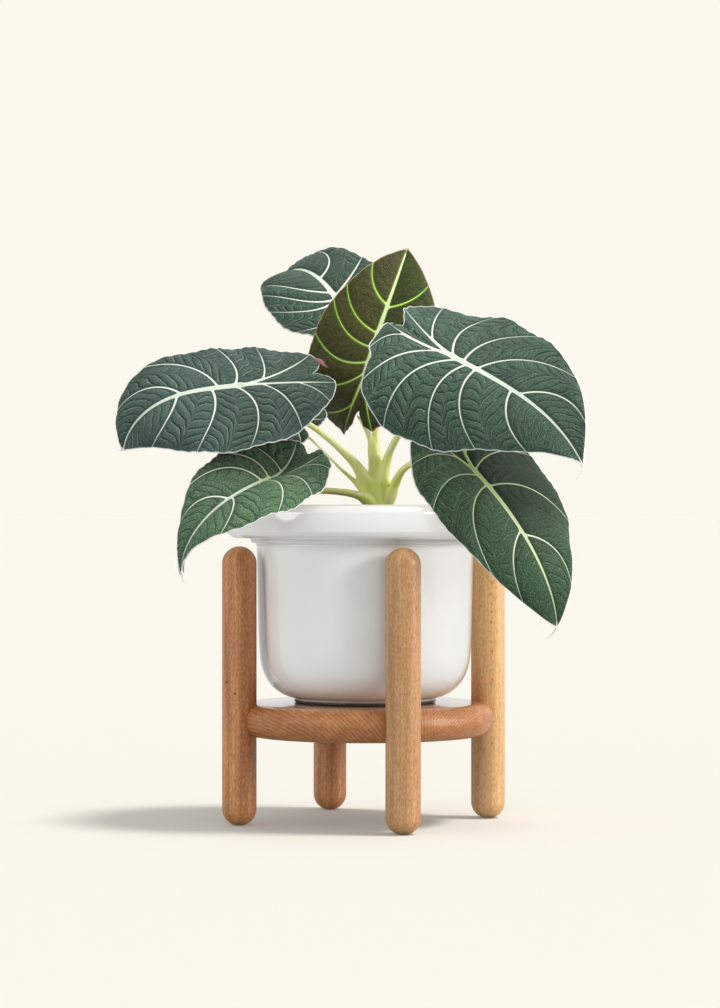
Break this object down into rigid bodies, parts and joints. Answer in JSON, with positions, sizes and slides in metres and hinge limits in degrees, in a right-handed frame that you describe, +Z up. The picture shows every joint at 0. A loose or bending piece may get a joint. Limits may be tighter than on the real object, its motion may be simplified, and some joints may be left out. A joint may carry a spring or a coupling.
{
  "type": "potted alocasia plant on a wooden stand",
  "caption": "Small black velvet alocasia with broad drooping silver-veined leaves in a white glazed pot, standing on a round-shelved beech stand with dowel legs.",
  "frame": {"origin": "under the middle of the whole plant's bounding box, at the height of the floor that the four feet stand on", "axes": "+Z up, -Y towards the viewer of the picture, +X to the viewer's right; the stand's own axis lies 13.5 mm to the right of the origin"},
  "size_m": [0.3304, 0.3303, 0.4319],
  "materials": {
    "beech": "oiled beech, satin",
    "glaze": "white glaze, glossy",
    "soil": "moist potting mix, matt",
    "stalk": "pale green leaf stalk, satin",
    "velvet": "dark velvety blade with silvery veins",
    "young": "young olive blade with lime veins, satin"
  },
  "bodies": {
    "root": {"leg_front": "beech", "leg_right": "beech", "leg_back": "beech", "leg_left": "beech", "shelf": "beech", "pot": "glaze", "soil": "soil", "crown": "stalk", "leaf_left": "velvet", "leaf_low_left": "velvet", "leaf_back": "velvet", "leaf_young": "young", "leaf_right": "velvet", "leaf_low_right": "velvet", "leaf_small": "velvet"}
  },
  "joints": []
}
